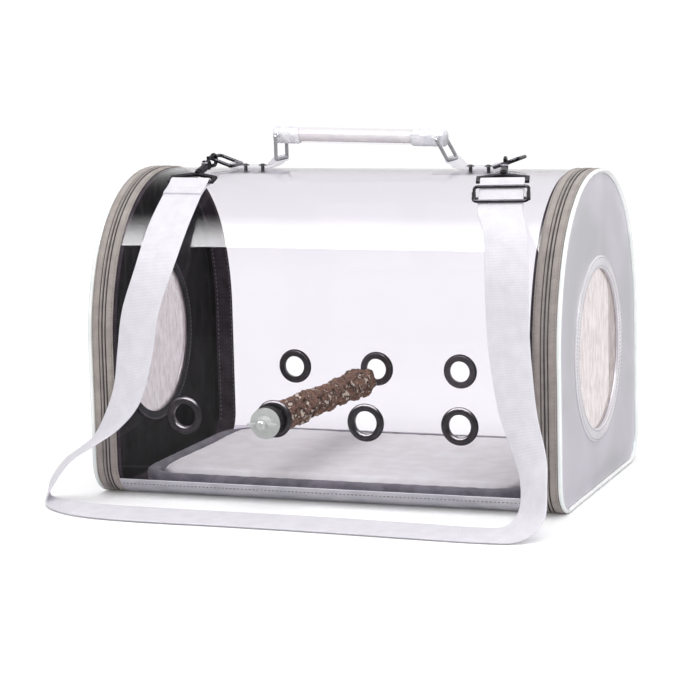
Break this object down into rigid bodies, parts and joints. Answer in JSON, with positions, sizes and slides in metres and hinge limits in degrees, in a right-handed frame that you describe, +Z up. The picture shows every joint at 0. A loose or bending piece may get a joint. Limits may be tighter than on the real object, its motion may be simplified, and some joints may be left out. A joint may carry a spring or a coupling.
{
  "type": "bird travel carrier",
  "caption": "soft-sided bird travel carrier: clear arched sheet between two zip-round mesh-window doors, eyelet vents, bolted branch perch, lift-out mat, carry grip and clip-on shoulder strap",
  "frame": {"origin": "middle of the flat base, on the surface that the carrier stands on", "axes": "X runs along the carrier from one door to the other, -Y is the front with the strap and the perch nut, Z is up"},
  "size_m": [0.4708, 0.3757, 0.3176],
  "materials": {
    "clear_sheet": "clear flexible vinyl",
    "base_fabric": "silver coated fabric",
    "edging": "woven taupe binding tape",
    "zip_tape": "coil zip on woven tape",
    "lining": "black nylon",
    "door_sheet": "silver coated leathercloth",
    "piping": "white vinyl piping",
    "window_trim": "silver coated leathercloth, stitched",
    "binding": "black woven binding",
    "mesh": "pale net",
    "eyelet": "black lacquered brass",
    "zip_metal": "dark gunmetal",
    "wire": "nickel plated wire",
    "black_metal": "black nickel",
    "webbing": "off-white woven webbing",
    "perch_wood": "knobbly bark",
    "zinc": "bright zinc plate",
    "rubber": "matt",
    "board": "plain board",
    "plush": "short white plush",
    "mat_edge": "dark grey woven edging"
  },
  "bodies": {
    "carrier": {"clear_shell": "clear_sheet", "base_cover": "base_fabric", "front_eyelets": "eyelet", "back_eyelets": "eyelet", "left_band": "edging", "right_band": "edging", "left_fixed_zip": "zip_tape", "right_fixed_zip": "zip_tape", "left_band_lining": "lining", "right_band_lining": "lining", "door_flaps": "edging", "left_tab": "clear_sheet", "right_tab": "clear_sheet", "tab_rivets": "zip_metal", "tab_patches": "clear_sheet", "shoulder_strap": "webbing", "perch_branch": "perch_wood", "perch_bolt": "zinc"},
    "left_door": {"left_door_panel": "door_sheet", "left_door_lining": "lining", "left_door_band": "edging", "left_door_zip": "zip_tape", "left_piping": "piping", "left_window_ring": "window_trim", "left_window_binding": "binding", "left_mesh": "mesh"},
    "right_door": {"right_door_panel": "door_sheet", "right_door_lining": "lining", "right_door_band": "edging", "right_door_zip": "zip_tape", "right_piping": "piping", "right_window_ring": "window_trim", "right_window_binding": "binding", "right_mesh": "mesh"},
    "left_zip": {"left_zip_slider": "zip_metal"},
    "right_zip": {"right_zip_slider": "zip_metal"},
    "left_pull": {"left_zip_pull": "zip_metal"},
    "right_pull": {"right_zip_pull": "zip_metal"},
    "left_link": {"left_link": "wire"},
    "right_link": {"right_link": "wire"},
    "grip": {"grip_core": "door_sheet", "grip_tube": "clear_sheet", "grip_sleeves": "door_sheet"},
    "left_ring": {"left_d_ring": "black_metal"},
    "right_ring": {"right_d_ring": "black_metal"},
    "left_hook": {"left_hook": "black_metal"},
    "right_hook": {"right_hook": "black_metal"},
    "left_gate": {"left_gate": "black_metal"},
    "right_gate": {"right_gate": "black_metal"},
    "left_loop": {"left_loop": "black_metal", "left_strap_end": "webbing"},
    "right_loop": {"right_loop": "black_metal", "right_strap_end": "webbing"},
    "strap_slider": {"strap_slider": "black_metal"},
    "washers": {"rubber_washer": "rubber", "zinc_washer": "zinc"},
    "wing_nut": {"wing_nut": "zinc"},
    "mat": {"mat_board": "board", "mat_plush": "plush", "mat_binding": "mat_edge"}
  },
  "joints": [
    {"name": "left_door_hinge", "type": "hinge", "parent": "carrier", "child": "left_door", "pos_m": [-0.2121, 0, 0.0021], "axis": [0, -1, 0], "range_deg": [0, 90]},
    {"name": "left_zip_slide", "type": "slide", "parent": "carrier", "child": "left_zip", "axis": [0, 0, 1], "range_m": [0, 0.07]},
    {"name": "left_pull_swing", "type": "hinge", "parent": "left_zip", "child": "left_pull", "pos_m": [-0.2, 0.13985, 0.0462], "axis": [1, 0, 0], "range_deg": [0, 100]},
    {"name": "right_door_hinge", "type": "hinge", "parent": "carrier", "child": "right_door", "pos_m": [0.2121, 0, 0.0021], "axis": [0, 1, 0], "range_deg": [0, 90]},
    {"name": "right_zip_slide", "type": "slide", "parent": "carrier", "child": "right_zip", "axis": [0, 0, 1], "range_m": [0, 0.07]},
    {"name": "right_pull_swing", "type": "hinge", "parent": "right_zip", "child": "right_pull", "pos_m": [0.2, 0.13985, 0.0462], "axis": [1, 0, 0], "range_deg": [0, 100]},
    {"name": "left_link_swing", "type": "hinge", "parent": "carrier", "child": "left_link", "pos_m": [-0.0795, 0, 0.288], "axis": [0, 1, 0], "range_deg": [-16, 16]},
    {"name": "grip_pivot", "type": "hinge", "parent": "left_link", "child": "grip", "pos_m": [-0.0795, 0, 0.3095], "axis": [0, 1, 0], "range_deg": [-17.5, 17.5]},
    {"name": "right_link_swing", "type": "hinge", "parent": "carrier", "child": "right_link", "pos_m": [0.0815, 0, 0.288], "axis": [0, 1, 0], "range_deg": [-19, 19]},
    {"name": "left_ring_lift", "type": "hinge", "parent": "carrier", "child": "left_ring", "pos_m": [-0.1235, 0, 0.28201], "axis": [0, 1, 0], "range_deg": [0, 40], "deforming": ["shoulder_strap"]},
    {"name": "left_hook_swing", "type": "hinge", "parent": "left_ring", "child": "left_hook", "pos_m": [-0.1395, -0.0136, 0.28783], "axis": [-0.9397, 0, 0.342], "range_deg": [0, 20], "deforming": ["shoulder_strap"]},
    {"name": "left_gate_press", "type": "hinge", "parent": "left_hook", "child": "left_gate", "pos_m": [-0.14077, -0.02813, 0.28602], "axis": [-0.9962, 0.0872, 0], "range_deg": [0, 24], "stiffness_Nm_per_rad": 0.01},
    {"name": "left_swivel", "type": "hinge", "parent": "left_hook", "child": "left_loop", "pos_m": [-0.14213, -0.04369, 0.27889], "axis": [-0.0836, -0.9552, -0.284], "range_deg": [-3, 3], "deforming": ["shoulder_strap"]},
    {"name": "right_ring_lift", "type": "hinge", "parent": "carrier", "child": "right_ring", "pos_m": [0.1235, 0, 0.28201], "axis": [0, -1, 0], "range_deg": [0, 40], "deforming": ["shoulder_strap"]},
    {"name": "right_hook_swing", "type": "hinge", "parent": "right_ring", "child": "right_hook", "pos_m": [0.134, -0.0136, 0.28583], "axis": [-0.9397, 0, -0.342], "range_deg": [0, 20], "deforming": ["shoulder_strap"]},
    {"name": "right_gate_press", "type": "hinge", "parent": "right_hook", "child": "right_gate", "pos_m": [0.1373, -0.02791, 0.28529], "axis": [-0.9744, -0.225, 0], "range_deg": [0, 24], "stiffness_Nm_per_rad": 0.01},
    {"name": "right_swivel", "type": "hinge", "parent": "right_hook", "child": "right_loop", "pos_m": [0.14094, -0.04368, 0.27955], "axis": [0.2204, -0.9548, -0.1994], "range_deg": [-3, 3], "deforming": ["shoulder_strap"]},
    {"name": "slider_slide", "type": "slide", "parent": "right_loop", "child": "strap_slider", "axis": [0.203, -0.8795, -0.4305], "range_m": [0, 0.011], "deforming": ["right_strap_end"]},
    {"name": "washer_slide", "type": "slide", "parent": "carrier", "child": "washers", "axis": [0, -1, 0], "range_m": [0, 0.005]},
    {"name": "nut_spin", "type": "hinge", "parent": "washers", "child": "wing_nut", "pos_m": [-0.0435, -0.152, 0.074], "axis": [0, -1, 0], "range_deg": [0, 1440]},
    {"name": "mat_lift", "type": "slide", "parent": "carrier", "child": "mat", "axis": [0, 0, 1], "range_m": [0, 0.025]}
  ],
  "couplings": [
    {"joint": "grip_pivot", "follows": "left_link_swing", "ratio": -1.08},
    {"joint": "right_link_swing", "follows": "left_link_swing", "ratio": 1.16},
    {"joint": "washer_slide", "follows": "nut_spin", "m_per_rad": 0.00019894}
  ]
}
